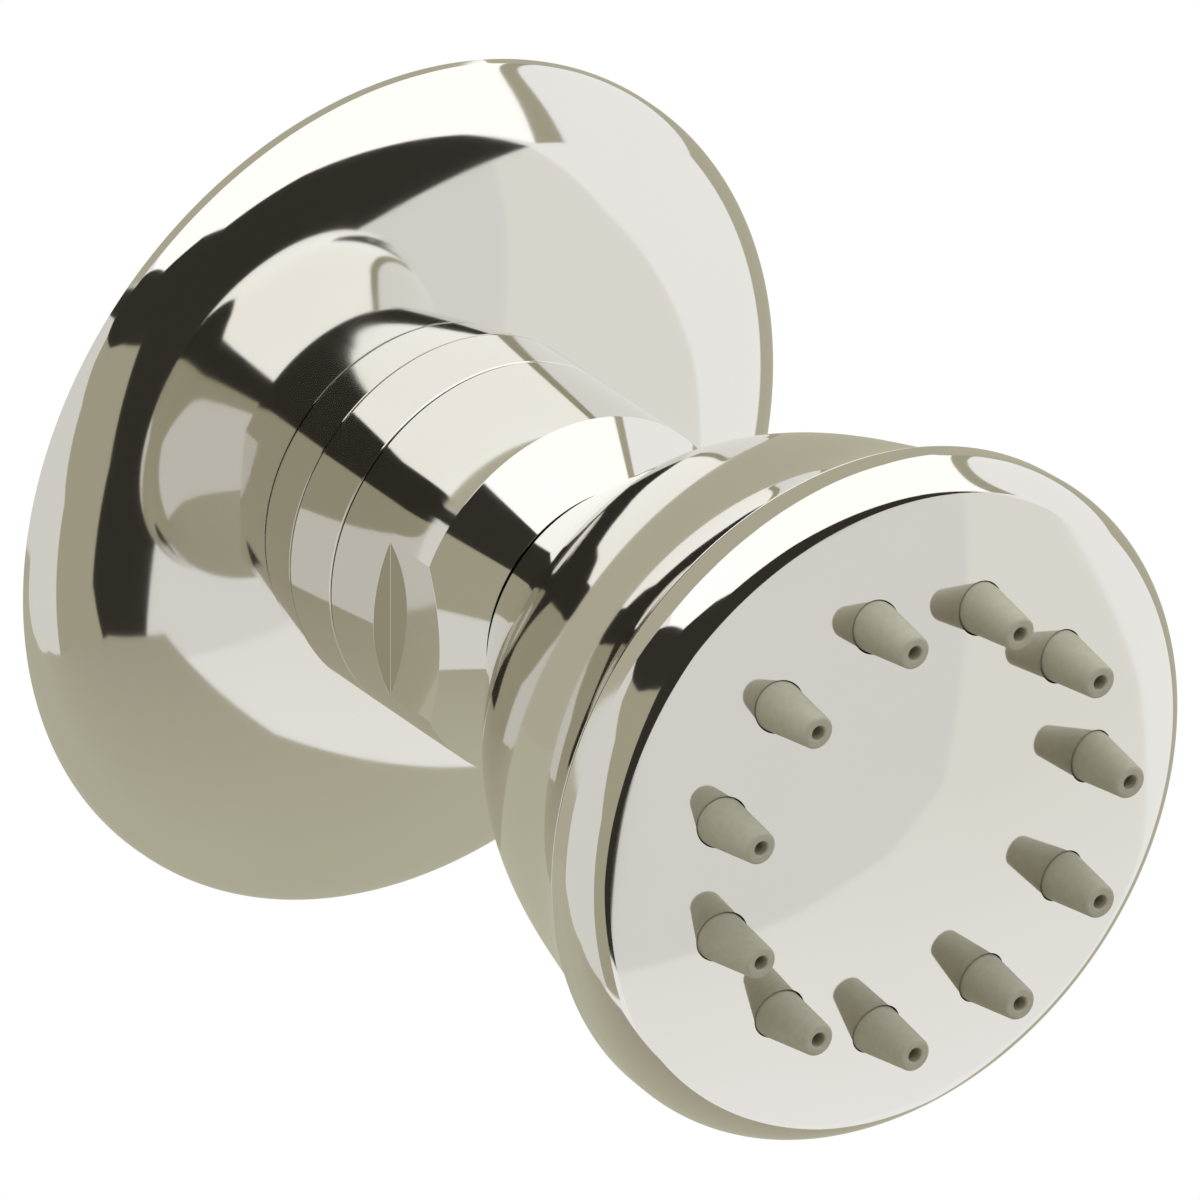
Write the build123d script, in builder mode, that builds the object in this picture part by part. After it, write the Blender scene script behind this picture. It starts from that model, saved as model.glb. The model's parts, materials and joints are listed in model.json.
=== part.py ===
from build123d import *
import os
from math import acos, asin, cos, degrees, radians, sin, sqrt, tan

# Swivel body jet for a shower, in millimetres.
# The wall is the plane Y = 0, the jet points along -Y and Z is up.
# Turned pieces are drawn in the XY plane as (radius, -projection) and revolved about Y.

os.makedirs("parts", exist_ok=True)

# Flange on the wall
flange_d = 70.0
flange_height = 8.25
flange_rim = 0.7
flange_wall = 1.2
hub_wall = 2.6
hub_length = 4.4
gasket_width = 4.0
gasket_thickness = 1.2

# Inlet body
inlet_bore_d = 18.6
inlet_setback = 0.2
inlet_chamfer = 0.35
inlet_floor_wall = 2.25
relief_depth = 0.6
neck_wall = 2.5
collar_length = 5.36
spigot_length = 4.7
spigot_wall = 0.95
port_d = 13.6
washer_thickness = 1.2
screen_thickness = 0.5
screen_hole_d = 1.2
screen_hole_pitch = 2.3
screen_rings = 2

# Union nut
nut_wall = 2.1
nut_front_slope = 42.0
nut_lip = 0.52
nut_land_width = 1.8
flat_depth = 1.6
flat_setback = 0.94
edge_break = 0.15

# Ball joint
ball_d = 22.0
ball_setback = 7.1
ball_neck_d = 13.0
ball_bore_d = 9.0
ball_rim = 0.9
swivel_limit = 8.0
mouth_margin = 1.85
nut_lip_angle = 5.0
seal_lip_angle = 18.2
seat_ring_wall = 0.85
stem_d = 12.0
stem_reach = 0.4
regulator_d = 10.4
regulator_length = 3.0
regulator_setback = 0.5
regulator_wall = 1.6
regulator_floor = 1.2
regulator_post_d = 2.8
regulator_holes = 6
regulator_hole_d = 1.2

# O-ring sections
grip_ring_section = 1.8
ball_seal_section = 1.8
stem_seal_section = 1.0
regulator_ring_section = 1.6

# Bell
bell_back_angle = 52.5
bell_cone_slope = 37.0
bell_cone_length = 10.0
bell_belly_length = 13.2
bell_flare_length = 9.4
bell_flare_depth = 3.4
bell_flare_slope = 30.0
bell_mouth_d = 56.8
bell_wall = 2.2
bell_edge_round = 0.3
bell_lip = 4.0
ledge_width = 1.6
stem_seat_depth = 2.6
stem_seat_wall = 0.7
boss_length = 5.0

# Face and nozzles
face_step = 0.1
face_flare = 0.25
face_side = 4.2
face_dome_radius = 106.0
face_rim_round = 3.0
face_wall = 1.6
face_thread_length = 4.8
skirt_wall = 1.75
face_seal_thickness = 1.0
nozzle_count = 11
nozzle_edge = 4.75
nozzle_base_d = 4.1
nozzle_tip_d = 2.7
nozzle_tip_round = 0.3
nozzle_height = 5.3
orifice_d = 1.2
orifice_length = 2.0
feed_d = 2.0
mat_thickness = 1.4
plate_thickness = 2.0
plate_hole_d = 2.6
snap_ring_thickness = 1.0
snap_ring_width = 1.8
snap_ring_depth = 0.6
snap_ring_gap = 5.0

# Clearances
slip = 0.05
seat_slack = 0.03
nut_gap = 0.2
thread_relief = 0.2
face_gap = 0.15
ball_clearance = 0.1
ring_clearance = 0.05
ring_margin = 0.8
swivel_gap = 0.5
nozzle_hole_gap = 0.12

# Radii of the ball's socket and of the pieces round it
ball_r = ball_d / 2
ball_neck_r = ball_neck_d / 2
lip_r = ball_r + ball_clearance
ring_in_r = ball_r + ring_clearance
ring_out_r = ring_in_r + seat_ring_wall
pocket_r = ring_out_r + ball_clearance
spigot_r = pocket_r + spigot_wall
nut_thread_r = spigot_r + slip
nut_r = nut_thread_r + nut_wall
relief_r = inlet_bore_d / 2 + relief_depth
neck_r = relief_r + neck_wall
hole_r = neck_r + slip

# Angles about the ball's centre, from the outward axis
swing = degrees(acos(cos(radians(swivel_limit)) ** 2))
mouth_angle = degrees(asin(ball_neck_r / lip_r)) + swing + mouth_margin
pocket_front_angle = mouth_angle + nut_lip_angle
port_angle = 180 - degrees(asin(port_d / 2 / lip_r))
pocket_back_angle = port_angle - seal_lip_angle
ball_seal_angle = (port_angle + pocket_back_angle) / 2

# Stations along the axis, as projections from the wall
flange_dome = flange_height - flange_rim
flange_seat = flange_rim + flange_dome * sqrt(1 - (2 * nut_r / flange_d) ** 2)
collar_back = flange_seat + seat_slack
collar_front = collar_back + collar_length
spigot_front = collar_front + spigot_length
ball_centre = collar_front + ball_setback
nut_back = collar_front + nut_gap
nut_thread_end = spigot_front + thread_relief
nut_land = ball_centre + lip_r * cos(radians(mouth_angle)) + nut_lip
nut_mouth_r = (nut_land - ball_centre) * tan(radians(mouth_angle))
nut_land_r = nut_mouth_r + nut_land_width
nut_edge = nut_land - (nut_r - nut_land_r) * tan(radians(nut_front_slope))
flat_back = nut_thread_end + flat_setback

# The bell's back is a hollow sphere about the ball, clear of the nut's cone at full swing
nut_cone = radians(nut_front_slope)
nut_cone_reach = (nut_edge - ball_centre) * cos(nut_cone) + nut_r * sin(nut_cone)
cup_r = nut_cone_reach / cos(radians(bell_back_angle + swing - nut_front_slope)) + swivel_gap
bell_back_r = cup_r * sin(radians(bell_back_angle))
bell_back = ball_centre + cup_r * cos(radians(bell_back_angle))
bell_cone_end = bell_back + bell_cone_length
bell_waist = bell_cone_end + bell_belly_length
bell_mouth = bell_waist + bell_flare_length
bell_mouth_r = bell_mouth_d / 2
thread_r = bell_mouth_r - bell_lip
stem_r = stem_d / 2
stem_seat_r = ball_neck_r + stem_seat_wall
stem_seat = ball_centre + sqrt(cup_r**2 - stem_seat_r**2) + stem_seat_depth
chamber_floor = stem_seat + boss_length
stem_front = chamber_floor + stem_reach

# The face screws into the bell and holds the nozzle mat, its backing plate and a snap ring
face_back = bell_mouth + face_gap
face_back_r = bell_mouth_r + face_step
face_r = face_back_r + face_flare
face_top = face_back + face_side + face_dome_radius - sqrt(face_dome_radius**2 - face_r**2)
skirt_back = face_back - face_thread_length
ledge = skirt_back - face_seal_thickness
skirt_r = thread_r - slip
skirt_in_r = skirt_r - skirt_wall
mat_r = skirt_in_r - slip
nozzle_circle_r = mat_r - nozzle_edge
mat_drop = face_wall + slip
plate_drop = mat_drop + mat_thickness + slip
plate_back_drop = plate_drop + plate_thickness
snap_out_r = skirt_in_r + snap_ring_depth
snap_in_r = snap_out_r - snap_ring_width


def at(radius, projection):
    """Point of a profile, from its radius and its projection."""
    return (radius, -projection)


def on_ball(radius, angle):
    """Point of a profile at an angle about the ball's centre."""
    return at(radius * sin(radians(angle)), ball_centre + radius * cos(radians(angle)))


def dome(radius, drop):
    """Projection of a sphere that lies a drop under the face's dome."""
    return face_top - face_dome_radius + sqrt((face_dome_radius - drop) ** 2 - radius**2)


def slope(angle):
    """Direction of a profile that opens outwards at an angle to the axis."""
    return (sin(radians(angle)), -cos(radians(angle)))


def ring_section(low_r, high_r, back, front, mode=Mode.ADD):
    """Rectangular section of a turned ring or disc."""
    with Locations(at((low_r + high_r) / 2, (back + front) / 2)):
        Rectangle(high_r - low_r, front - back, mode=mode)


def round_section(centre, section, mode=Mode.ADD):
    """Round section of an O-ring or of its groove."""
    with Locations(centre):
        Circle(section / 2, mode=mode)


def ball_arc(radius, start, end):
    """Arc about the ball's centre."""
    ThreePointArc(on_ball(radius, start), on_ball(radius, (start + end) / 2), on_ball(radius, end))


def dome_arc(radius, drop):
    """Arc of the dome from the axis to a radius."""
    ThreePointArc(*(at(r, dome(r, drop)) for r in (0, radius / 2, radius)))


# Wall flange: an elliptical dome on a straight rim, a flat seat for the collar, and a hub round the neck
hub_back = flange_seat - hub_length
grip_ring_at = flange_seat - hub_length / 2
grip_ring_r = neck_r + slip + grip_ring_section / 2


def flange_section(inset, mode=Mode.ADD):
    """Section of the flange's dome and rim, an inset under its outside."""
    with Locations(at(0, flange_rim)):
        Ellipse(flange_d / 2 - inset, flange_dome - inset, mode=mode)
    ring_section(0, flange_d / 2 - inset, 0, flange_rim, mode)


with BuildPart() as wall_flange:
    with BuildSketch():
        flange_section(0)
        flange_section(flange_wall, Mode.SUBTRACT)
        ring_section(hole_r, hole_r + hub_wall, hub_back, flange_seat)
        ring_section(hole_r, flange_d / 2, 0, flange_seat, Mode.INTERSECT)
        round_section(at(grip_ring_r, grip_ring_at), grip_ring_section + 2 * slip, Mode.SUBTRACT)
    revolve(axis=Axis.Y)
wall_flange.part.label = "wall_flange"
export_step(wall_flange.part, "parts/wall_flange.step")

# Foam gasket inside the flange's rim
rim_share = (gasket_thickness - flange_rim) / (flange_dome - flange_wall)
gasket_r = (flange_d / 2 - flange_wall) * sqrt(1 - rim_share**2) - slip

with BuildPart() as flange_gasket:
    with BuildSketch():
        ring_section(gasket_r - gasket_width, gasket_r, 0, gasket_thickness)
    revolve(axis=Axis.Y)
flange_gasket.part.label = "flange_gasket"
export_step(flange_gasket.part, "parts/flange_gasket.step")

# O-ring in the hub, which grips the neck
with BuildPart() as flange_grip_ring:
    with BuildSketch():
        round_section(at(grip_ring_r, grip_ring_at), grip_ring_section)
    revolve(axis=Axis.Y)
flange_grip_ring.part.label = "flange_grip_ring"
export_step(flange_grip_ring.part, "parts/flange_grip_ring.step")

# Inlet body: neck with the inlet socket, collar, and spigot with the rear half of the ball's socket
ball_seal_centre = on_ball(ring_in_r + ball_seal_section / 2, ball_seal_angle)
ball_seal_groove = ball_seal_section + 2 * slip
inlet_floor = -ball_seal_centre[1] - ball_seal_groove / 2 - inlet_floor_wall
relief_back = inlet_floor - washer_thickness - screen_thickness - 2 * slip

with BuildPart() as inlet_body:
    with BuildSketch() as inlet_profile:
        ring_section(0, neck_r, inlet_setback, collar_back)
        ring_section(0, nut_r, collar_back, collar_front)
        ring_section(0, spigot_r, collar_front, spigot_front)
        chamfer(inlet_profile.vertices().group_by(Axis.X)[-1], edge_break)
        ring_section(0, inlet_bore_d / 2, inlet_setback, relief_back, Mode.SUBTRACT)
        bore_edge = inlet_profile.vertices().sort_by_distance(at(inlet_bore_d / 2, inlet_setback))[:1]
        chamfer(bore_edge, inlet_chamfer)
        ring_section(0, relief_r, relief_back, inlet_floor, Mode.SUBTRACT)
        ring_section(0, port_d / 2, inlet_floor, ball_centre, Mode.SUBTRACT)
        round_section(at(0, ball_centre), 2 * lip_r, Mode.SUBTRACT)
        round_section(ball_seal_centre, ball_seal_groove, Mode.SUBTRACT)
        with BuildLine():
            ball_arc(pocket_r, 0, pocket_back_angle)
            Polyline(on_ball(pocket_r, pocket_back_angle), at(0, ball_centre), on_ball(pocket_r, 0))
        make_face(mode=Mode.SUBTRACT)
    revolve(axis=Axis.Y)
inlet_body.part.label = "inlet_body"
export_step(inlet_body.part, "parts/inlet_body.step")

# Strainer disc on the floor of the inlet socket
screen_back = inlet_floor - screen_thickness

with BuildPart() as filter_screen:
    with BuildSketch(Plane.XZ.offset(screen_back)):
        Circle(inlet_bore_d / 2 - slip)
        Circle(screen_hole_d / 2, mode=Mode.SUBTRACT)
        for ring in range(1, screen_rings + 1):
            with PolarLocations(ring * screen_hole_pitch, 6 * ring):
                Circle(screen_hole_d / 2, mode=Mode.SUBTRACT)
    extrude(amount=screen_thickness)
filter_screen.part.label = "filter_screen"
export_step(filter_screen.part, "parts/filter_screen.step")

# Sealing washer under the supply pipe, which holds the strainer down
with BuildPart() as inlet_washer:
    with BuildSketch():
        ring_section(port_d / 2, relief_r - slip, screen_back - slip - washer_thickness, screen_back - slip)
    revolve(axis=Axis.Y)
inlet_washer.part.label = "inlet_washer"
export_step(inlet_washer.part, "parts/inlet_washer.step")

# O-ring behind the ball
with BuildPart() as ball_seal:
    with BuildSketch():
        round_section(ball_seal_centre, ball_seal_section)
    revolve(axis=Axis.Y)
ball_seal.part.label = "ball_seal"
export_step(ball_seal.part, "parts/ball_seal.step")

# Union nut: conical front, two wrench flats, and the front half of the ball's socket
with BuildPart() as union_nut:
    with BuildSketch() as nut_profile:
        with BuildLine():
            Polyline(
                at(0, nut_back),
                at(nut_r, nut_back),
                at(nut_r, nut_edge),
                at(nut_land_r, nut_land),
                at(0, nut_land),
                close=True,
            )
        make_face()
        chamfer(nut_profile.vertices().group_by(Axis.X)[-1], edge_break)
        ring_section(0, nut_thread_r, nut_back, nut_thread_end, Mode.SUBTRACT)
        round_section(at(0, ball_centre), 2 * lip_r, Mode.SUBTRACT)
        with BuildLine():
            Polyline(at(0, ball_centre), at(nut_mouth_r, nut_land), at(0, nut_land), close=True)
        make_face(mode=Mode.SUBTRACT)
        with BuildLine():
            ball_arc(pocket_r, pocket_front_angle, 180)
            Polyline(on_ball(pocket_r, 180), at(0, ball_centre), on_ball(pocket_r, pocket_front_angle))
        make_face(mode=Mode.SUBTRACT)
    revolve(axis=Axis.Y)
    with BuildSketch(Plane.XZ.offset(flat_back)):
        Circle(2 * nut_r)
        Rectangle(2 * (nut_r - flat_depth), 4 * nut_r, mode=Mode.SUBTRACT)
    extrude(amount=nut_land - flat_back, mode=Mode.SUBTRACT)
union_nut.part.label = "union_nut"
export_step(union_nut.part, "parts/union_nut.step")

# Bearing rings, round inside and out, that float between the ball and its socket
front_ring_angles = (pocket_front_angle + swing + ring_margin, 90 - swivel_limit)
rear_ring_angles = (90 + swivel_limit, pocket_back_angle - swing - ring_margin)

seat_rings = {"front_seat_ring": front_ring_angles, "rear_seat_ring": rear_ring_angles}

for name, (start, end) in seat_rings.items():
    with BuildPart() as seat_ring:
        with BuildSketch():
            with BuildLine():
                ball_arc(ring_in_r, start, end)
                Line(on_ball(ring_in_r, end), on_ball(ring_out_r, end))
                ball_arc(ring_out_r, end, start)
                Line(on_ball(ring_out_r, start), on_ball(ring_in_r, start))
            make_face()
        revolve(axis=Axis.Y)
    seat_ring.part.label = name
    export_step(seat_ring.part, f"parts/{name}.step")

# Hollow ball with its neck and its threaded stem
regulator_seat_r = regulator_d / 2 + slip
ball_back = ball_centre - sqrt(ball_r**2 - (regulator_seat_r + ball_rim) ** 2)
regulator_back = ball_back + regulator_setback
regulator_front = regulator_back + regulator_length
stem_seal_centre = at(stem_seat_r - slip - stem_seal_section / 2, stem_seat - stem_seal_section)

with BuildPart() as swivel_ball:
    with BuildSketch() as ball_profile:
        round_section(at(0, ball_centre), ball_d)
        ring_section(0, ball_neck_r, ball_centre, stem_seat - slip)
        ring_section(0, stem_r, ball_centre, stem_front)
        ring_section(0, ball_r, ball_back, stem_front, Mode.INTERSECT)
        ring_section(0, ball_bore_d / 2, ball_back, stem_front, Mode.SUBTRACT)
        ring_section(0, regulator_seat_r, ball_back, regulator_front + slip, Mode.SUBTRACT)
        round_section(stem_seal_centre, stem_seal_section + 2 * slip, Mode.SUBTRACT)
        stem_edge = ball_profile.vertices().sort_by_distance(at(stem_r, stem_front))[:1]
        chamfer(stem_edge, stem_reach)
    revolve(axis=Axis.Y)
swivel_ball.part.label = "swivel_ball"
export_step(swivel_ball.part, "parts/swivel_ball.step")

# Flow regulator: a cup with a post, and a ring of holes in its floor
regulator_cup_r = regulator_d / 2 - regulator_wall
regulator_post_r = regulator_post_d / 2
regulator_floor_back = regulator_front - regulator_floor
regulator_ring_r = (regulator_post_r + regulator_cup_r) / 2

with BuildPart() as flow_regulator:
    with BuildSketch():
        ring_section(0, regulator_d / 2, regulator_back, regulator_front)
        ring_section(regulator_post_r, regulator_cup_r, regulator_back, regulator_floor_back, Mode.SUBTRACT)
    revolve(axis=Axis.Y)
    with BuildSketch(Plane.XZ.offset(regulator_floor_back)):
        with PolarLocations(regulator_ring_r, regulator_holes):
            Circle(regulator_hole_d / 2)
    extrude(amount=regulator_floor, mode=Mode.SUBTRACT)
flow_regulator.part.label = "flow_regulator"
export_step(flow_regulator.part, "parts/flow_regulator.step")

# O-ring round the regulator's post, which the flow squeezes
with BuildPart() as regulator_ring:
    with BuildSketch():
        ring_at = regulator_floor_back - regulator_ring_section / 2 - seat_slack
        round_section(at(regulator_ring_r, ring_at), regulator_ring_section)
    revolve(axis=Axis.Y)
regulator_ring.part.label = "regulator_ring"
export_step(regulator_ring.part, "parts/regulator_ring.step")

# O-ring between the ball's neck and the bell
with BuildPart() as stem_seal:
    with BuildSketch():
        round_section(stem_seal_centre, stem_seal_section)
    revolve(axis=Axis.Y)
stem_seal.part.label = "stem_seal"
export_step(stem_seal.part, "parts/stem_seal.step")

# Bell: conical back, swelling belly and flared mouth, with a water chamber behind the face
bell_cone_r = bell_back_r + bell_cone_length * tan(radians(bell_cone_slope))
bell_waist_r = bell_mouth_r - bell_flare_depth
chamber_floor_r = bell_back_r + (chamber_floor - bell_back) * tan(radians(bell_cone_slope)) - bell_wall
ledge_r = thread_r - ledge_width

with BuildPart() as bell_shell:
    with BuildSketch() as bell_profile:
        with BuildLine():
            Polyline(
                at(0, bell_mouth),
                at(0, bell_back),
                at(bell_back_r, bell_back),
                at(bell_cone_r, bell_cone_end),
            )
            Spline(
                at(bell_cone_r, bell_cone_end),
                at(bell_waist_r, bell_waist),
                at(bell_mouth_r, bell_mouth),
                tangents=[slope(bell_cone_slope), slope(bell_flare_slope)],
            )
            Line(at(bell_mouth_r, bell_mouth), at(0, bell_mouth))
        make_face()
        round_section(at(0, ball_centre), 2 * cup_r, Mode.SUBTRACT)
        back_edge = bell_profile.vertices().sort_by_distance(at(bell_back_r, bell_back))[:1]
        fillet(back_edge, bell_edge_round)
        ring_section(0, stem_seat_r, bell_back, stem_seat, Mode.SUBTRACT)
        ring_section(0, stem_r + slip, stem_seat, chamber_floor, Mode.SUBTRACT)
        ring_section(0, thread_r, ledge, bell_mouth, Mode.SUBTRACT)
        with BuildLine():
            Polyline(
                at(ledge_r, ledge),
                at(0, ledge),
                at(0, chamber_floor),
                at(chamber_floor_r, chamber_floor),
            )
            Spline(
                at(chamber_floor_r, chamber_floor),
                at(bell_waist_r - bell_wall, bell_waist),
                at(ledge_r, ledge),
            )
        make_face(mode=Mode.SUBTRACT)
    revolve(axis=Axis.Y)
bell_shell.part.label = "bell_shell"
export_step(bell_shell.part, "parts/bell_shell.step")

# Flat seal between the face's skirt and the bell's ledge
with BuildPart() as face_seal:
    with BuildSketch():
        ring_section(ledge_r, thread_r - slip, ledge + slip, skirt_back - slip)
    revolve(axis=Axis.Y)
face_seal.part.label = "face_seal"
export_step(face_seal.part, "parts/face_seal.step")

# Face: a dome with a rolled rim, a skirt that screws into the bell, and a hole for each nozzle
plate_rim = dome(snap_in_r, plate_back_drop)
snap_front = plate_rim - slip
snap_back = snap_front - snap_ring_thickness

with BuildPart() as face_plate:
    with BuildSketch() as face_profile:
        with BuildLine():
            dome_arc(face_r, 0)
            Polyline(
                at(face_r, dome(face_r, 0)),
                at(face_back_r, face_back),
                at(0, face_back),
                at(0, face_top),
            )
        make_face()
        fillet(face_profile.vertices().group_by(Axis.X)[-1], face_rim_round)
        ring_section(0, skirt_r, skirt_back, face_back)
        with BuildLine():
            dome_arc(skirt_in_r, face_wall)
            Polyline(
                at(skirt_in_r, dome(skirt_in_r, face_wall)),
                at(skirt_in_r, skirt_back),
                at(0, skirt_back),
                at(0, dome(0, face_wall)),
            )
        make_face(mode=Mode.SUBTRACT)
        ring_section(skirt_in_r, snap_out_r + slip, snap_back - slip, snap_front + slip, Mode.SUBTRACT)
    revolve(axis=Axis.Y)
    with BuildSketch(Plane.XZ.offset(face_back)):
        with PolarLocations(nozzle_circle_r, nozzle_count):
            Circle(nozzle_base_d / 2 + nozzle_hole_gap)
    extrude(amount=face_top - face_back, mode=Mode.SUBTRACT)
face_plate.part.label = "face_plate"
export_step(face_plate.part, "parts/face_plate.step")

# Nozzle mat: one moulded sheet with a tapered nozzle through each hole of the face
nozzle_base = dome(nozzle_circle_r, 0)
nozzle_root = dome(nozzle_circle_r, mat_drop + mat_thickness / 2)
nozzle_tip = nozzle_base + nozzle_height
upright = (Align.CENTER, Align.CENTER, Align.MIN)

with BuildPart() as nozzle_mat:
    with BuildSketch():
        with BuildLine():
            dome_arc(mat_r, mat_drop)
            Line(at(mat_r, dome(mat_r, mat_drop)), at(mat_r, dome(mat_r, mat_drop + mat_thickness)))
            dome_arc(mat_r, mat_drop + mat_thickness)
            Line(at(0, dome(0, mat_drop + mat_thickness)), at(0, dome(0, mat_drop)))
        make_face()
    revolve(axis=Axis.Y)
    with Locations(Plane.XZ.offset(nozzle_root)):
        with PolarLocations(nozzle_circle_r, nozzle_count):
            Cylinder(nozzle_base_d / 2, nozzle_base - nozzle_root, align=upright)
    with Locations(Plane.XZ.offset(nozzle_base)):
        with PolarLocations(nozzle_circle_r, nozzle_count):
            Cone(nozzle_base_d / 2, nozzle_tip_d / 2, nozzle_height, align=upright)
    tip_edges = nozzle_mat.edges().filter_by(GeomType.CIRCLE).group_by(Axis.Y)[0]
    fillet(tip_edges, nozzle_tip_round)
    with BuildSketch(Plane.XZ.offset(nozzle_tip - orifice_length)):
        with PolarLocations(nozzle_circle_r, nozzle_count):
            Circle(orifice_d / 2)
    extrude(amount=orifice_length, mode=Mode.SUBTRACT)
    with BuildSketch(Plane.XZ.offset(face_back)):
        with PolarLocations(nozzle_circle_r, nozzle_count):
            Circle(feed_d / 2)
    extrude(amount=nozzle_tip - orifice_length - face_back, mode=Mode.SUBTRACT)
nozzle_mat.part.label = "nozzle_mat"
export_step(nozzle_mat.part, "parts/nozzle_mat.step")

# Backing plate, domed like the mat, with a flat rim for the snap ring
with BuildPart() as backing_plate:
    with BuildSketch():
        with BuildLine():
            dome_arc(mat_r, plate_drop)
            Line(at(mat_r, dome(mat_r, plate_drop)), at(mat_r, dome(mat_r, plate_back_drop)))
            dome_arc(mat_r, plate_back_drop)
            Line(at(0, dome(0, plate_back_drop)), at(0, dome(0, plate_drop)))
        make_face()
        ring_section(0, mat_r, plate_rim, face_top, Mode.INTERSECT)
    revolve(axis=Axis.Y)
    with BuildSketch(Plane.XZ.offset(plate_rim)):
        with PolarLocations(nozzle_circle_r, nozzle_count):
            Circle(plate_hole_d / 2)
    extrude(amount=face_top - plate_rim, mode=Mode.SUBTRACT)
backing_plate.part.label = "backing_plate"
export_step(backing_plate.part, "parts/backing_plate.step")

# Split snap ring in the skirt's groove
with BuildPart() as retaining_ring:
    with BuildSketch(Plane.XZ.offset(snap_back)):
        Circle(snap_out_r)
        Circle(snap_in_r, mode=Mode.SUBTRACT)
        with Locations((0, -snap_out_r)):
            Rectangle(snap_ring_gap, 4 * snap_ring_width, mode=Mode.SUBTRACT)
    extrude(amount=snap_ring_thickness)
retaining_ring.part.label = "retaining_ring"
export_step(retaining_ring.part, "parts/retaining_ring.step")
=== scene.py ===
import json
import math

import bmesh
import bpy
from mathutils import Matrix, Vector


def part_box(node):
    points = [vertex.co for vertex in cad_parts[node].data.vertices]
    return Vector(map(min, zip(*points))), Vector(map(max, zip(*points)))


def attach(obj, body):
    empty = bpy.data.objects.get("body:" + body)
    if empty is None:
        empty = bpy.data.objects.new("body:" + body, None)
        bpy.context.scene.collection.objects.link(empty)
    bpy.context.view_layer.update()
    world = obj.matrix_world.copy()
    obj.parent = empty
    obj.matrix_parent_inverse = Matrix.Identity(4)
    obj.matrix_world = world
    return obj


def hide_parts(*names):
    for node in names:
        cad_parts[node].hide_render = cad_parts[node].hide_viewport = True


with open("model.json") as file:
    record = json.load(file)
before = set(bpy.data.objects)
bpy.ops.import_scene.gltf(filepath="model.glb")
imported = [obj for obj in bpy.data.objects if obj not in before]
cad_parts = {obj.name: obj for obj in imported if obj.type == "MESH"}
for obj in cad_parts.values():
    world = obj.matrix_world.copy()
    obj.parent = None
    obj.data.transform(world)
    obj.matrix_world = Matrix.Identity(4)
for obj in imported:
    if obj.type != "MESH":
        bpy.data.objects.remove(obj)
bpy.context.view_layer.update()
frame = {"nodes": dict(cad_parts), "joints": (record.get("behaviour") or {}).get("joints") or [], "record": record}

bl_info = {
    "name": "Shower body jet",
    "version": (1, 0, 0),
    "blender": (4, 5, 0),
    "location": "View3D > Sidebar > Body jet",
    "description": "Dresses the packed body jet in polished nickel and silicone and sets up its studio",
    "category": "Object",
}

# Metres in a millimetre, and the distance in metres under which points are merged
MM = 0.001
MERGE = 1e-7

# How far a cutter reaches past what it cuts, in millimetres
CUT_MARGIN = 2.0

# Degrees between faces that count as a sharp edge, and the steps of a rounded edge
SHARP_ANGLE = 24
FLANGE_SHARP_ANGLE = 4
EDGE_STEPS = 3


def reach(node):
    """Back projection, front projection and outer radius of a turned CAD node, in millimetres."""
    low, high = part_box(node)
    return -high.y / MM, -low.y / MM, high.z / MM


# Stations of the jet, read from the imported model, in millimetres from the wall and from the axis
FLANGE_BACK, FLANGE_SEAT, FLANGE_R = reach("wall_flange")
INLET_BACK, SPIGOT_FRONT, COLLAR_R = reach("inlet_body")
WASHER_BACK, _, WASHER_R = reach("inlet_washer")
_, SCREEN_FRONT, _ = reach("filter_screen")
NUT_BACK, NUT_LAND, NUT_R = reach("union_nut")
BALL_BACK, STEM_FRONT, BALL_R = reach("swivel_ball")
_, BELL_MOUTH, BELL_MOUTH_R = reach("bell_shell")
FACE_SEAL_BACK, _, _ = reach("face_seal")
SKIRT_BACK, FACE_TOP, _ = reach("face_plate")
_, NOZZLE_TOP, MAT_R = reach("nozzle_mat")
SNAP_BACK, SNAP_FRONT, SNAP_R = reach("retaining_ring")
BALL_CENTRE = -frame["joints"][0]["pos_m"][1] / MM

# Sizes that no box shows: millimetres, degrees for angles, slopes and turns, and plain shares and growth
FLANGE_HEIGHT = 8.25
FLANGE_RIM = 0.7
FLANGE_RIM_TURN = 12
FLANGE_WALL = 1.2
HUB_WALL = 2.6
HUB_LENGTH = 4.4
NECK_R = 12.4
SLIP = 0.05
COLLAR_LENGTH = 5.36
SPIGOT_R = 12.95
PORT_R = 6.8
POCKET_R = 12.0
LIP_R = 11.1
BALL_SEAL_SECTION = 1.8
SEAL_MOUTH_ANGLE = 4.9
SEAL_FLOOR_ANGLE = 4.3
NUT_GAP = 0.2
NUT_SLOPE = 42.0
NUT_LIP = 0.52
NUT_LAND_WIDTH = 1.8
NUT_LIP_ANGLE = 5.0
THREAD_RELIEF = 0.2
THREAD_ROOT_SHARE = 0.45
THREAD_CREST_SHARE = 0.06
FLAT_DEPTH = 1.6
FLAT_SETBACK = 0.94
BALL_NECK_R = 6.5
BALL_BORE_R = 4.5
STEM_R = 6.0
STEM_REACH = 0.4
STEM_SEAT_R = 7.2
STEM_GROOVE_DEPTH = 0.4
BOSS_LENGTH = 5.0
REGULATOR_SEAT_R = 5.25
REGULATOR_SEAT_DEPTH = 3.55
CUP_R = 14.51
CUP_ANGLE = 52.5
CUP_EDGE_ANGLE = 0.5
CONE_SLOPE = 37.0
CONE_LENGTH = 10.0
BELLY_LENGTH = 13.2
WAIST_GROWTH = 0.273
FLARE_DEPTH = 3.4
FLARE_SLOPE = 30.0
BELL_WALL = 2.2
BELL_LIP = 4.0
LEDGE_WIDTH = 1.6
FACE_GAP = 0.15
FACE_STEP = 0.1
FACE_FLARE = 0.25
FACE_SIDE = 4.2
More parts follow.
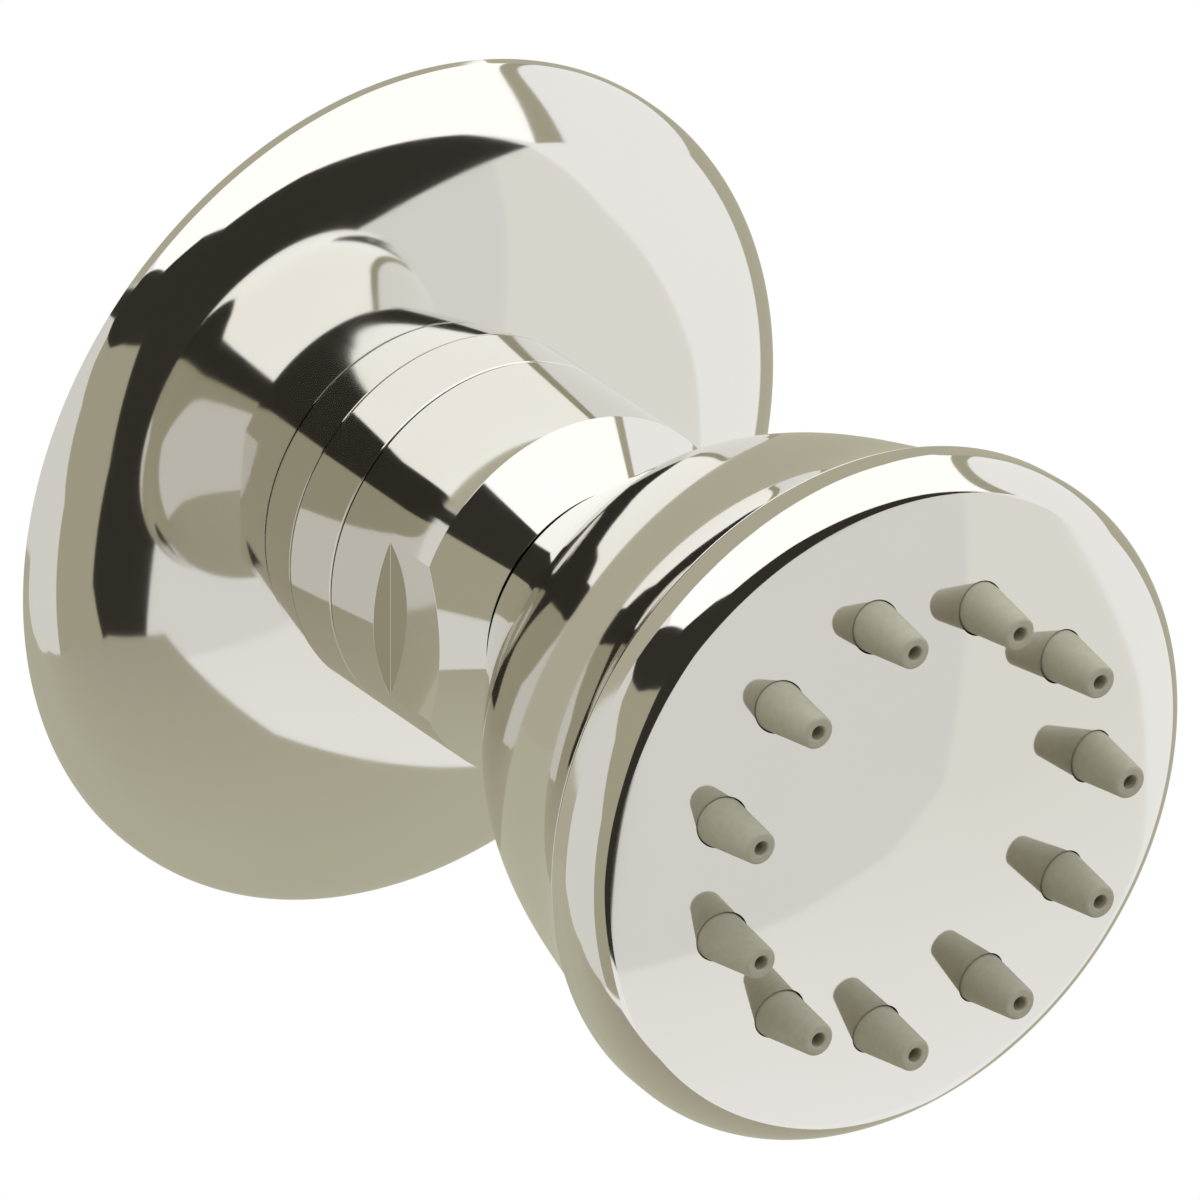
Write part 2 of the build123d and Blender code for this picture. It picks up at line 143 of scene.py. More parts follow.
FACE_DOME_R = 106.0
FACE_RIM_ROUND = 3.0
FACE_EDGE_BREAK = 0.1
FACE_WALL = 1.6
SKIRT_WALL = 1.75
NOZZLE_EDGE = 4.75
NOZZLE_HOLE_GAP = 0.12
NOZZLE_TIP_ROUND = 0.3
ORIFICE_LENGTH = 2.0
ORIFICE_CHAMFER = 0.1
MAT_THICKNESS = 1.4

# Steps of the round runs
FLANGE_RIM_STEPS = 40
FLANGE_DOME_STEPS = 64
FLANGE_INNER_STEPS = 32
FLANGE_INNER_RIM_STEPS = 16
INLET_POCKET_STEPS = 16
NUT_LIP_STEPS = 4
NUT_POCKET_STEPS = 32
BALL_STEPS = 72
BELLY_STEPS = 48
FLARE_STEPS = 40
CUP_STEPS = 24
FACE_DOME_STEPS = 72
FACE_RIM_STEPS = 40
FACE_INNER_STEPS = 40
MAT_STEPS = 32
TIP_STEPS = 10

# Slot of each node's finish, from the record
SLOT_OF = {part["node"]: part["material_slot"] for part in frame["record"]["subparts"]}


def linear(hex_colour):
    """Linear colour of an sRGB hex value."""
    shares = [int(hex_colour[place:place + 2], 16) / 255 for place in (1, 3, 5)]
    return [share / 12.92 if share <= 0.04045 else ((share + 0.055) / 1.055) ** 2.4 for share in shares]


def colour_property(name, description, hex_colour):
    """Colour that a user may change, given as an sRGB hex value."""
    return bpy.props.FloatVectorProperty(
        name=name, description=description, subtype="COLOR", size=3, min=0, max=1, default=linear(hex_colour)
    )


def length_property(name, description, millimetres):
    """Length that a user may change, given in millimetres."""
    return bpy.props.FloatProperty(
        name=name, description=description, unit="LENGTH", subtype="DISTANCE", precision=5,
        min=0, default=millimetres * MM,
    )


def angle_property(name, description, degrees):
    """Angle that a user may change, given in degrees."""
    return bpy.props.FloatProperty(
        name=name, description=description, unit="ROTATION", subtype="ANGLE", default=math.radians(degrees)
    )


class JetSizes(bpy.types.PropertyGroup):
    """Sizes of the dressed pieces that the CAD model leaves plain."""

    turn_steps: bpy.props.IntProperty(
        name="Turning steps", description="Faces round a turned metal piece", default=256, min=48, max=360
    )
    nozzle_steps: bpy.props.IntProperty(
        name="Nozzle steps", description="Faces round one nozzle", default=64, min=24, max=128
    )
    nozzle_count: bpy.props.IntProperty(
        name="Nozzles", description="Nozzles in the ring", default=11, min=1, max=24
    )
    edge_round: length_property("Edge round", "Round on the turned metal edges", 0.15)
    thread_pitch: length_property("Thread pitch", "Pitch of the half-inch pipe thread in the inlet", 1.81)
    thread_depth: length_property("Thread depth", "Height of the inlet thread's ridge", 0.6)
    nozzle_base_d: length_property("Nozzle base", "Diameter of a nozzle where it leaves the face", 4.1)
    nozzle_tip_d: length_property("Nozzle tip", "Diameter of a nozzle's tip", 2.7)
    orifice_d: length_property("Orifice", "Diameter of the hole in a nozzle's tip", 1.2)
    feed_d: length_property("Feed", "Diameter of the water way behind the orifice", 2.0)


class JetColours(bpy.types.PropertyGroup):
    """Colours of the finishes."""

    nickel: colour_property("Nickel", "Polished nickel", "#E7E5E1")
    nickel_warm: colour_property("Warm nickel", "Polished nickel where the plate is thicker", "#E4E2DC")
    silicone: colour_property("Silicone", "Moulded silicone of the nozzles", "#C3C0AE")
    silicone_dark: colour_property("Dark silicone", "Speckle in the silicone", "#B2AF9C")
    rubber: colour_property("Seal rubber", "Black rubber of the seals", "#232221")
    rubber_bloom: colour_property("Rubber bloom", "Grey bloom on the seals", "#383634")
    acetal: colour_property("Acetal", "Turned white acetal", "#E6E5E0")
    acetal_shade: colour_property("Acetal shade", "Tool marks in the acetal", "#D8D7D0")
    steel: colour_property("Stainless steel", "Stamped stainless steel", "#CFCDC8")
    steel_dark: colour_property("Dark steel", "Rolling marks in the steel", "#BBB9B4")
    foam: colour_property("Foam", "Closed-cell foam of the gasket", "#2A2A2B")
    foam_cell: colour_property("Foam cells", "Cell walls of the foam", "#454546")


class JetStudio(bpy.types.PropertyGroup):
    """Camera, cards and backdrop."""

    azimuth: angle_property("Azimuth", "Turn of the camera to the right of the jet's axis", -35.2)
    elevation: angle_property("Elevation", "Height of the camera above the jet's axis", 28.3)
    frame_height: length_property("Frame", "Height of the picture at the jet", 92.66)
    aim_right: length_property("Aim right", "How far right of the wall's centre the camera looks", 15.96)
    aim_down: length_property("Aim down", "How far under the wall's centre the camera looks", 9.52)
    camera_distance: length_property("Camera distance", "Distance of the camera", 500)
    card_distance: length_property("Card distance", "Distance of the studio's cards", 2000)
    floor_drop: length_property("Floor drop", "Height of the jet's axis above the floor", 1700)
    floor_size: length_property("Floor size", "Half the width of the floor", 12000)
    backdrop: colour_property("Backdrop", "Surroundings, and the floor as it is seen", "#FFFFFF")
    floor: colour_property("Floor", "Floor as it lights the jet from below", "#6A665B")
    panel: colour_property("Light panel", "Panel in front of the jet", "#E7E5E3")
    wing: colour_property("Panel wing", "Brighter card right of the light panel and under it", "#F0EEEA")
    flag: colour_property("Dark flag", "Dark card round the camera", "#36322D")
    olive: colour_property("Olive card", "Card left of the dark flag, and the round strip", "#ACA993")
    side: colour_property("Side card", "Grey card on the far left", "#E4E3DF")
    table: colour_property("Table", "Sheet under the jet", "#BCBAA6")
    table_end: colour_property("Table end", "Front end of the sheet under the jet", "#AAA694")
    back: colour_property("Back card", "Tan card behind the jet", "#B9B6A2")
    table_drop: length_property("Table drop", "Height of the jet's axis above the sheet under it", 80)
    overhead: bpy.props.FloatProperty(
        name="Overhead", description="Strength of the soft light above", default=1.3, min=0
    )


def spot(radius, projection):
    """Point of the plane through the jet's axis, from millimetres."""
    return Vector((radius * MM, -projection * MM, 0))


def on_ball(radius, angle):
    """Radius and projection of a point at an angle about the ball's centre, from the outward axis."""
    turn = math.radians(angle)
    return radius * math.sin(turn), BALL_CENTRE + radius * math.cos(turn)


def ball_angle(radius, projection):
    """Angle about the ball's centre of a circle's point at a projection."""
    return math.degrees(math.acos((projection - BALL_CENTRE) / radius))


def dome(radius, drop):
    """Projection of a sphere that lies a drop under the face's dome."""
    return FACE_TOP - FACE_DOME_R + math.sqrt((FACE_DOME_R - drop) ** 2 - radius**2)


class Profile:
    """Outline of a turned piece, drawn run by run with bmesh operators."""

    def __init__(self, radius, projection):
        self.shape = bmesh.new()
        self.first = self.shape.verts.new(spot(radius, projection))
        self.tip = self.first

    def line(self, *points):
        """Straight runs to points of radius and projection."""
        for radius, projection in points:
            self.tip = bmesh.ops.extrude_vert_indiv(self.shape, verts=[self.tip])["verts"][0]
            self.tip.co = spot(radius, projection)

    def arc(self, radius, projection, turn, steps):
        """Round run about a centre, by degrees that count from outwards to forwards."""
        made = bmesh.ops.spin(
            self.shape, geom=[self.tip], cent=spot(radius, projection), axis=(0, 0, 1),
            angle=-math.radians(turn), steps=steps,
        )
        self.tip = [part for part in made["geom_last"] if isinstance(part, bmesh.types.BMVert)][0]

    def oval(self, projection, squash, turn, steps):
        """Run round an ellipse about a point of the axis, which is a circle squashed along the axis."""
        centre = Matrix.Translation(-spot(0, projection))
        older = set(self.shape.verts) - {self.tip}
        bmesh.ops.scale(self.shape, vec=(1, 1 / squash, 1), space=centre, verts=[self.tip])
        self.arc(0, projection, turn, steps)
        newer = [point for point in self.shape.verts if point not in older]
        bmesh.ops.scale(self.shape, vec=(1, squash, 1), space=centre, verts=newer)

    def flow(self, radius, projection, leave, arrive, steps):
        """Smooth run to a point, with the growth of the radius per length at both of its ends."""
        start_r, start_f = self.tip.co.x / MM, -self.tip.co.y / MM
        length = projection - start_f
        for step in range(1, steps + 1):
            share = step / steps
            rise = (3 - 2 * share) * share**2
            pull = leave * (1 - share) ** 2 * share - arrive * (1 - share) * share**2
            self.line((start_r + (radius - start_r) * rise + length * pull, start_f + length * share))

    def turned(self, steps, closed=True):
        """The outline spun round the jet's axis, with its seam and its poles merged."""
        if closed:
            self.shape.edges.new((self.tip, self.first))
        bmesh.ops.spin(
            self.shape, geom=self.shape.verts[:] + self.shape.edges[:], axis=(0, 1, 0),
            angle=math.tau, steps=steps, use_merge=True,
        )
        bmesh.ops.remove_doubles(self.shape, verts=self.shape.verts, dist=MERGE)
        bmesh.ops.recalc_face_normals(self.shape, faces=self.shape.faces)
        return self.shape


def piece_from(shape, name):
    """Smooth mesh object made from a bmesh, which is freed."""
    mesh = bpy.data.meshes.new(name)
    shape.to_mesh(mesh)
    shape.free()
    mesh.shade_smooth()
    piece = bpy.data.objects.new(name, mesh)
    bpy.context.scene.collection.objects.link(piece)
    return piece


def carve(piece, cutter):
    """Cuts one piece's shape out of another and removes the cutter."""
    cut = piece.modifiers.new("carve", "BOOLEAN")
    cut.operation = "DIFFERENCE"
    cut.solver = "EXACT"
    cut.object = cutter
    evaluated = piece.evaluated_get(bpy.context.evaluated_depsgraph_get())
    carved = bpy.data.meshes.new_from_object(evaluated)
    if len(carved.polygons) in (0, len(piece.data.polygons)):
        raise RuntimeError(f"{cutter.name} cut nothing out of {piece.name}")
    piece.modifiers.clear()
    piece.data = carved
    carved.shade_smooth()
    bpy.data.objects.remove(cutter)


def soften(piece, width):
    """Rounds the sharp turned edges and keeps the flats flat."""
    rounding = piece.modifiers.new("edge round", "BEVEL")
    rounding.width = width
    rounding.segments = EDGE_STEPS
    rounding.limit_method = "ANGLE"
    rounding.angle_limit = math.radians(SHARP_ANGLE)
    rounding.harden_normals = True
    rounding.use_clamp_overlap = True


def crisp(piece, degrees=SHARP_ANGLE):
    """Keeps the edges between faces that meet at more than some degrees sharp to the eye."""
    piece.data.set_sharp_from_angle(angle=math.radians(degrees))


def dress(piece, body, slot, *nodes):
    """The piece rides on a body, takes a slot's finish and stands for CAD nodes."""
    piece.data.materials.clear()
    piece.data.materials.append(finish(slot))
    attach(piece, body)
    if nodes:
        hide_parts(*nodes)


def node(tree, kind, inputs=None, **settings):
    """Adds a node with its settings; each input takes a value or another node's output."""
    made = tree.nodes.new(kind)
    for key, value in settings.items():
        setattr(made, key, value)
    for socket, value in (inputs or {}).items():
        if isinstance(value, bpy.types.NodeSocket):
            tree.links.new(value, made.inputs[socket])
        else:
            made.inputs[socket].default_value = value
    return made


def per_mm(millimetres):
    """Texture scale whose pattern repeats at a real size."""
    return 1 / (millimetres * MM)


def rgba(colour):
    """Colour with a full alpha."""
    return (*colour, 1)


def blank_material(name):
    """Material with an empty node tree, and that tree."""
    material = bpy.data.materials.new(name)
    material.use_nodes = True
    material.node_tree.nodes.clear()
    return material, material.node_tree


def object_place(tree):
    """Place on a piece, in metres."""
    return node(tree, "ShaderNodeTexCoord").outputs["Object"]


# Where a mix node has its colours among its inputs and outputs
MIX_FIRST = 6
MIX_SECOND = 7
MIX_RESULT = 2


def mixed(tree, share, first, second):
    """Colour between two colours, by a share."""
    inputs = {"Factor": share, MIX_FIRST: rgba(first), MIX_SECOND: rgba(second)}
    return node(tree, "ShaderNodeMix", inputs, data_type="RGBA").outputs[MIX_RESULT]


def ranged(tree, value, low, high, first=0.0, last=1.0):
    """Value between low and high, as another goes from first to last."""
    inputs = {"Value": value, "From Min": first, "From Max": last, "To Min": low, "To Max": high}
    return node(tree, "ShaderNodeMapRange", inputs).outputs["Result"]


def clouds(tree, place, size, detail):
    """Noise whose patches are about a size in millimetres across."""
    inputs = {"Vector": place, "Scale": per_mm(size), "Detail": detail}
    return node(tree, "ShaderNodeTexNoise", inputs).outputs["Fac"]


def relief(tree, height, strength, depth):
    """Normal of a relief with a depth in millimetres."""
    inputs = {"Height": height, "Strength": strength, "Distance": depth * MM}
    return node(tree, "ShaderNodeBump", inputs).outputs["Normal"]


def surface(tree, inputs):
    """Ends a finish with its shader."""
    shader = node(tree, "ShaderNodeBsdfPrincipled", inputs)
    node(tree, "ShaderNodeOutputMaterial", {"Surface": shader.outputs["BSDF"]})


def polished_nickel(colours):
    """Nickel plate on brass, buffed to a warm mirror with a faint haze where the wheel passed."""
    material, tree = blank_material("polished_nickel_plate")
    place = object_place(tree)
    # Patches of plate shift the warmth by a trace
    patch = clouds(tree, place, size=18, detail=2.0)
    tint = mixed(tree, patch, colours.nickel, colours.nickel_warm)
    haze = clouds(tree, place, size=5, detail=4.0)
    gloss = ranged(tree, haze, low=0.045, high=0.065, first=0.3, last=0.7)
    surface(tree, {"Base Color": tint, "Metallic": 1.0, "Roughness": gloss})
    return material


def moulded_silicone(colours):
    """Grey silicone rubber out of an eroded mould: satin, a little speckled, with a fine grain."""
    material, tree = blank_material("moulded_grey_silicone")
    place = object_place(tree)
    speckle = clouds(tree, place, size=0.7, detail=3.0)
    tint = mixed(tree, speckle, colours.silicone, colours.silicone_dark)
    # The real mould's grit is too fine to show, so the grain is drawn coarser
    grain = clouds(tree, place, size=0.12, detail=2.0)
    grained = relief(tree, grain, strength=0.25, depth=0.02)
    gloss = ranged(tree, speckle, low=0.48, high=0.62)
    surface(tree, {"Base Color": tint, "Roughness": gloss, "IOR": 1.41, "Normal": grained})
    return material


def seal_rubber(colours):
    """Nitrile rubber from a press mould: black, dull, with a greyish bloom."""
    material, tree = blank_material("moulded_nitrile_rubber")
    bloom = clouds(tree, object_place(tree), size=2.5, detail=4.0)
    tint = mixed(tree, bloom, colours.rubber, colours.rubber_bloom)
    gloss = ranged(tree, bloom, low=0.45, high=0.7)
    surface(tree, {"Base Color": tint, "Roughness": gloss, "IOR": 1.52})
    return material


def turned_acetal(colours):
    """White acetal off a lathe: waxy, with fine tool rings about the jet's axis."""
    material, tree = blank_material("turned_white_acetal")
    # Tool rings 0.3 mm apart
    inputs = {"Vector": object_place(tree), "Scale": per_mm(0.3) / math.tau, "Distortion": 0.4}
    rings = node(tree, "ShaderNodeTexWave", inputs, wave_type="RINGS", rings_direction="Y").outputs["Fac"]
    tint = mixed(tree, rings, colours.acetal, colours.acetal_shade)
    grooved = relief(tree, rings, strength=0.3, depth=0.01)
    gloss = ranged(tree, rings, low=0.3, high=0.42)
    surface(tree, {"Base Color": tint, "Roughness": gloss, "IOR": 1.48, "Normal": grooved})
    return material


def stamped_steel(colours):
    """Cold-rolled stainless sheet, stamped: satin grey with rolling lines along one way."""
    material, tree = blank_material("stamped_stainless_steel")
    # Rolling lines, forty times as long as they are wide, along X
    stretch = node(tree, "ShaderNodeMapping", {"Vector": object_place(tree), "Scale": (0.025, 1.0, 1.0)})
    lines = clouds(tree, stretch.outputs["Vector"], size=0.25, detail=3.0)
    tint = mixed(tree, lines, colours.steel, colours.steel_dark)
    gloss = ranged(tree, lines, low=0.22, high=0.38)
    surface(tree, {"Base Color": tint, "Metallic": 1.0, "Roughness": gloss})
    return material


def cut_foam(colours):
    """Closed-cell foam, die cut: black, dull, with the cut cells showing as small pits."""
    material, tree = blank_material("die_cut_cell_foam")
    # Cells about 0.45 mm across
    cells = node(tree, "ShaderNodeTexVoronoi", {"Vector": object_place(tree), "Scale": per_mm(0.45)})
    walls = ranged(tree, cells.outputs["Distance"], low=0.0, high=1.0, first=0.25, last=0.75)
    tint = mixed(tree, walls, colours.foam, colours.foam_cell)
    pitted = relief(tree, walls, strength=0.6, depth=0.1)
    surface(tree, {"Base Color": tint, "Roughness": 0.85, "Normal": pitted})
    return material


FINISHES = {
    "polished_nickel": polished_nickel,
    "silicone": moulded_silicone,
    "seal_rubber": seal_rubber,
    "acetal": turned_acetal,
    "stainless": stamped_steel,
    "foam": cut_foam,
}
made_finishes = {}


def finish(slot):
    """Material of one of the record's slots, made once."""
    if slot not in made_finishes:
        made_finishes[slot] = FINISHES[slot](bpy.context.scene.jet_colours)
    return made_finishes[slot]


def nozzle_places(count):
    """Centres of the nozzles on their circle, as places across the jet's axis."""
    circle = (MAT_R - NOZZLE_EDGE) * MM
    turns = [math.tau * number / count for number in range(count)]
    return [Vector((circle * math.cos(turn), 0, circle * math.sin(turn))) for turn in turns]


def drills(name, radius, back, front, places, steps):
    """Cylinders along the jet's axis, for cutting holes."""
    shape = bmesh.new()
    for place in places:
        made = bmesh.ops.create_circle(shape, cap_ends=True, segments=steps, radius=radius * MM)["verts"]
        bmesh.ops.rotate(shape, matrix=Matrix.Rotation(math.pi / 2, 3, "X"), verts=made)
        bmesh.ops.translate(shape, vec=place + Vector((0, -back * MM, 0)), verts=made)
    discs = shape.faces[:]
    raised = bmesh.ops.extrude_face_region(shape, geom=discs)["geom"]
    tops = [part for part in raised if isinstance(part, bmesh.types.BMVert)]
    bmesh.ops.translate(shape, vec=(0, (back - front) * MM, 0), verts=tops)
    bmesh.ops.recalc_face_normals(shape, faces=shape.faces)
    return piece_from(shape, name)


class JET_OT_wall_flange(bpy.types.Operator):
    """Turns the domed wall flange with the collar's seat and the hub behind its hole"""

    bl_idname = "jet.wall_flange"
    bl_label = "Wall flange"

    def execute(self, context):
        sizes = context.scene.jet_sizes
        hole_r = NECK_R + SLIP
        hub_r = hole_r + HUB_WALL
        hub_back = FLANGE_SEAT - HUB_LENGTH
        dome_height = FLANGE_HEIGHT - FLANGE_RIM
        inner_r = FLANGE_R - FLANGE_WALL
        inner_height = dome_height - FLANGE_WALL
        seat_turn = math.degrees(math.acos(COLLAR_R / FLANGE_R))
        hub_turn = math.degrees(math.acos(hub_r / inner_r))
        ring_back, ring_front, ring_r = reach("flange_grip_ring")
        groove = [(hole_r, ring_front), (ring_r, ring_front), (ring_r, ring_back), (hole_r, ring_back)]
        # The rim turns fast, so its first degrees take more of the steps
        outline = Profile(FLANGE_R, FLANGE_BACK)
        outline.line((FLANGE_R, FLANGE_RIM))
        outline.oval(FLANGE_RIM, dome_height / FLANGE_R, FLANGE_RIM_TURN, FLANGE_RIM_STEPS)
        outline.oval(FLANGE_RIM, dome_height / FLANGE_R, seat_turn - FLANGE_RIM_TURN, FLANGE_DOME_STEPS)
        outline.line((hole_r, FLANGE_SEAT), *groove, (hole_r, hub_back), (hub_r, hub_back))
        outline.line((hub_r, FLANGE_RIM + inner_height * math.sin(math.radians(hub_turn))))
        outline.oval(FLANGE_RIM, inner_height / inner_r, FLANGE_RIM_TURN - hub_turn, FLANGE_INNER_STEPS)
        outline.oval(FLANGE_RIM, inner_height / inner_r, -FLANGE_RIM_TURN, FLANGE_INNER_RIM_STEPS)
        outline.line((inner_r, FLANGE_BACK))
        piece = piece_from(outline.turned(sizes.turn_steps), "flange_dome")
        crisp(piece, FLANGE_SHARP_ANGLE)
        dress(piece, "mount", "polished_nickel", "wall_flange")
        return {"FINISHED"}


class JET_OT_inlet_body(bpy.types.Operator):
    """Turns the inlet body with its collar and socket, and cuts its pipe thread"""

    bl_idname = "jet.inlet_body"
    bl_label = "Inlet body"

    def execute(self, context):
        sizes = context.scene.jet_sizes
        collar_front = NUT_BACK - NUT_GAP
        collar_back = collar_front - COLLAR_LENGTH
        relief_r = WASHER_R + SLIP
        port_angle = 180 - math.degrees(math.asin(PORT_R / LIP_R))
        seal_back, seal_front, seal_r = reach("ball_seal")
        seal_middle = (seal_back + seal_front) / 2
        seal_angle = math.degrees(math.atan2(seal_r - BALL_SEAL_SECTION / 2, seal_middle - BALL_CENTRE))
        pocket_back = 2 * seal_angle - port_angle
        pocket_edge = ball_angle(POCKET_R, SPIGOT_FRONT)
        groove_r = LIP_R + BALL_SEAL_SECTION
        outline = Profile(NECK_R, INLET_BACK)
        outline.line((NECK_R, collar_back), (COLLAR_R, collar_back), (COLLAR_R, collar_front))
        outline.line((SPIGOT_R, collar_front), (SPIGOT_R, SPIGOT_FRONT), on_ball(POCKET_R, pocket_edge))
        outline.arc(0, BALL_CENTRE, pocket_edge - pocket_back, INLET_POCKET_STEPS)
        outline.line(on_ball(LIP_R, pocket_back), on_ball(LIP_R, seal_angle - SEAL_MOUTH_ANGLE))
        outline.line(on_ball(groove_r, seal_angle - SEAL_FLOOR_ANGLE))
        outline.line(on_ball(groove_r, seal_angle + SEAL_FLOOR_ANGLE))
        outline.line(on_ball(LIP_R, seal_angle + SEAL_MOUTH_ANGLE), on_ball(LIP_R, port_angle))
        outline.line((PORT_R, SCREEN_FRONT), (relief_r, SCREEN_FRONT), (relief_r, INLET_BACK))
        piece = piece_from(outline.turned(sizes.turn_steps), "inlet_turning")
        soften(piece, sizes.edge_round)
        dress(piece, "mount", "polished_nickel", "inlet_body")

        ridge = bmesh.new()
        pitch = sizes.thread_pitch
        depth = sizes.thread_depth
        root = relief_r * MM + depth / 2
        crest = relief_r * MM - depth
        start = -INLET_BACK * MM - pitch / 2
        turns = int((WASHER_BACK - INLET_BACK) * MM / pitch)
        root_half = pitch * THREAD_ROOT_SHARE
        crest_half = pitch * THREAD_CREST_SHARE
        corners = [(root, -root_half), (crest, -crest_half), (crest, crest_half), (root, root_half)]
        section = [ridge.verts.new((radius, start + along, 0)) for radius, along in corners]
        ends = [bmesh.ops.contextual_create(ridge, geom=section)["faces"][0]]
        steps = sizes.turn_steps // 2 * turns
        bmesh.ops.spin(
            ridge, geom=section + ends[0].edges[:] + ends, axis=(0, 1, 0), angle=math.tau * turns,
            dvec=(0, -pitch * turns / steps, 0), steps=steps,
        )
        bmesh.ops.recalc_face_normals(ridge, faces=ridge.faces)
        thread = piece_from(ridge, "inlet_thread")
        crisp(thread)
        dress(thread, "mount", "polished_nickel")
        return {"FINISHED"}


class JET_OT_union_nut(bpy.types.Operator):
    """Turns the union nut and mills its two wrench flats"""

    bl_idname = "jet.union_nut"
    bl_label = "Union nut"

    def execute(self, context):
        sizes = context.scene.jet_sizes
        thread_r = SPIGOT_R + SLIP
        thread_end = SPIGOT_FRONT + THREAD_RELIEF
        mouth_r = math.sqrt(LIP_R**2 - (NUT_LAND - NUT_LIP - BALL_CENTRE) ** 2)
        mouth_angle = math.degrees(math.asin(mouth_r / LIP_R))
        land_in_r = (NUT_LAND - BALL_CENTRE) * math.tan(math.radians(mouth_angle))
        land_r = land_in_r + NUT_LAND_WIDTH
        edge = NUT_LAND - (NUT_R - land_r) * math.tan(math.radians(NUT_SLOPE))
        pocket_front = mouth_angle + NUT_LIP_ANGLE
        pocket_back = ball_angle(POCKET_R, thread_end)
        outline = Profile(thread_r, NUT_BACK)
        outline.line((NUT_R, NUT_BACK), (NUT_R, edge), (land_r, NUT_LAND), (land_in_r, NUT_LAND))
        outline.line(on_ball(LIP_R, mouth_angle))
        outline.arc(0, BALL_CENTRE, -NUT_LIP_ANGLE, NUT_LIP_STEPS)
        outline.line(on_ball(POCKET_R, pocket_front))
        outline.arc(0, BALL_CENTRE, pocket_front - pocket_back, NUT_POCKET_STEPS)
        outline.line((thread_r, thread_end))
        piece = piece_from(outline.turned(sizes.turn_steps), "nut_turning")

        cutter = bmesh.new()
        flat_back = thread_end + FLAT_SETBACK
        flat_long = NUT_LAND - flat_back + CUT_MARGIN
        flat_deep = FLAT_DEPTH + CUT_MARGIN
        for side in (-1, 1):
            block = bmesh.ops.create_cube(cutter, size=MM)["verts"]
            bmesh.ops.scale(cutter, vec=(flat_deep, flat_long, 2 * NUT_R + CUT_MARGIN), verts=block)
            across = side * (NUT_R - FLAT_DEPTH + flat_deep / 2)
            bmesh.ops.translate(cutter, vec=spot(across, flat_back + flat_long / 2), verts=block)
        carve(piece, piece_from(cutter, "flat_cutter"))
        soften(piece, sizes.edge_round)
        dress(piece, "mount", "polished_nickel", "union_nut")
        return {"FINISHED"}


class JET_OT_swivel_ball(bpy.types.Operator):
    """Turns the hollow ball with its neck and stem"""

    bl_idname = "jet.swivel_ball"
    bl_label = "Swivel ball"

    def execute(self, context):
        sizes = context.scene.jet_sizes
        stem_seat = STEM_FRONT - STEM_REACH - BOSS_LENGTH
        seal_back, seal_front, seal_r = reach("stem_seal")
        groove_r = BALL_NECK_R - STEM_GROOVE_DEPTH
        seat_end = BALL_BACK + REGULATOR_SEAT_DEPTH
        back_angle = ball_angle(BALL_R, BALL_BACK)
        neck_angle = math.degrees(math.asin(BALL_NECK_R / BALL_R))
        outline = Profile(BALL_BORE_R, STEM_FRONT)
        outline.line((BALL_BORE_R, seat_end), (REGULATOR_SEAT_R, seat_end), (REGULATOR_SEAT_R, BALL_BACK))
        outline.line(on_ball(BALL_R, back_angle))
        outline.arc(0, BALL_CENTRE, back_angle - neck_angle, BALL_STEPS)
        outline.line((BALL_NECK_R, seal_back), (groove_r, seal_back), (groove_r, seal_front))
        outline.line((BALL_NECK_R, seal_front), (BALL_NECK_R, stem_seat - SLIP), (STEM_R, stem_seat - SLIP))
        outline.line((STEM_R, STEM_FRONT - STEM_REACH), (STEM_R - STEM_REACH, STEM_FRONT))
        piece = piece_from(outline.turned(sizes.turn_steps // 2), "ball_turning")
        crisp(piece)
        dress(piece, "head", "polished_nickel", "swivel_ball")
        return {"FINISHED"}


class JET_OT_bell_shell(bpy.types.Operator):
    """Turns the bell with its conical back, swelling belly and flared mouth"""

    bl_idname = "jet.bell_shell"
    bl_label = "Bell shell"

    def execute(self, context):
        sizes = context.scene.jet_sizes
        cone_growth = math.tan(math.radians(CONE_SLOPE))
        flare_growth = math.tan(math.radians(FLARE_SLOPE))
        back_r, back = on_ball(CUP_R, CUP_ANGLE)
        cone_end = back + CONE_LENGTH
        waist = cone_end + BELLY_LENGTH
        waist_r = BELL_MOUTH_R - FLARE_DEPTH
        thread_r = BELL_MOUTH_R - BELL_LIP
        ledge_r = thread_r - LEDGE_WIDTH
        ledge = FACE_SEAL_BACK - SLIP
        floor = STEM_FRONT - STEM_REACH
        floor_r = back_r + (floor - back) * cone_growth - BELL_WALL
        seat = floor - BOSS_LENGTH
        seat_angle = math.degrees(math.asin(STEM_SEAT_R / CUP_R))
        outline = Profile(back_r, back)
        outline.line((back_r + CONE_LENGTH * cone_growth, cone_end))
        outline.flow(waist_r, waist, cone_growth, WAIST_GROWTH, BELLY_STEPS)
        outline.flow(BELL_MOUTH_R, BELL_MOUTH, WAIST_GROWTH, flare_growth, FLARE_STEPS)
        outline.line((thread_r, BELL_MOUTH), (thread_r, ledge), (ledge_r, ledge))
        outline.line((waist_r - BELL_WALL, waist), (floor_r, floor), (STEM_R + SLIP, floor))
        outline.line((STEM_R + SLIP, seat), (STEM_SEAT_R, seat), on_ball(CUP_R, seat_angle))
        # The cup's arc stops short of the back edge, so that the edge has room for its round
        outline.arc(0, BALL_CENTRE, seat_angle - CUP_ANGLE + CUP_EDGE_ANGLE, CUP_STEPS)
        piece = piece_from(outline.turned(sizes.turn_steps), "bell_turning")
        soften(piece, sizes.edge_round)
        dress(piece, "head", "polished_nickel", "bell_shell")
        return {"FINISHED"}


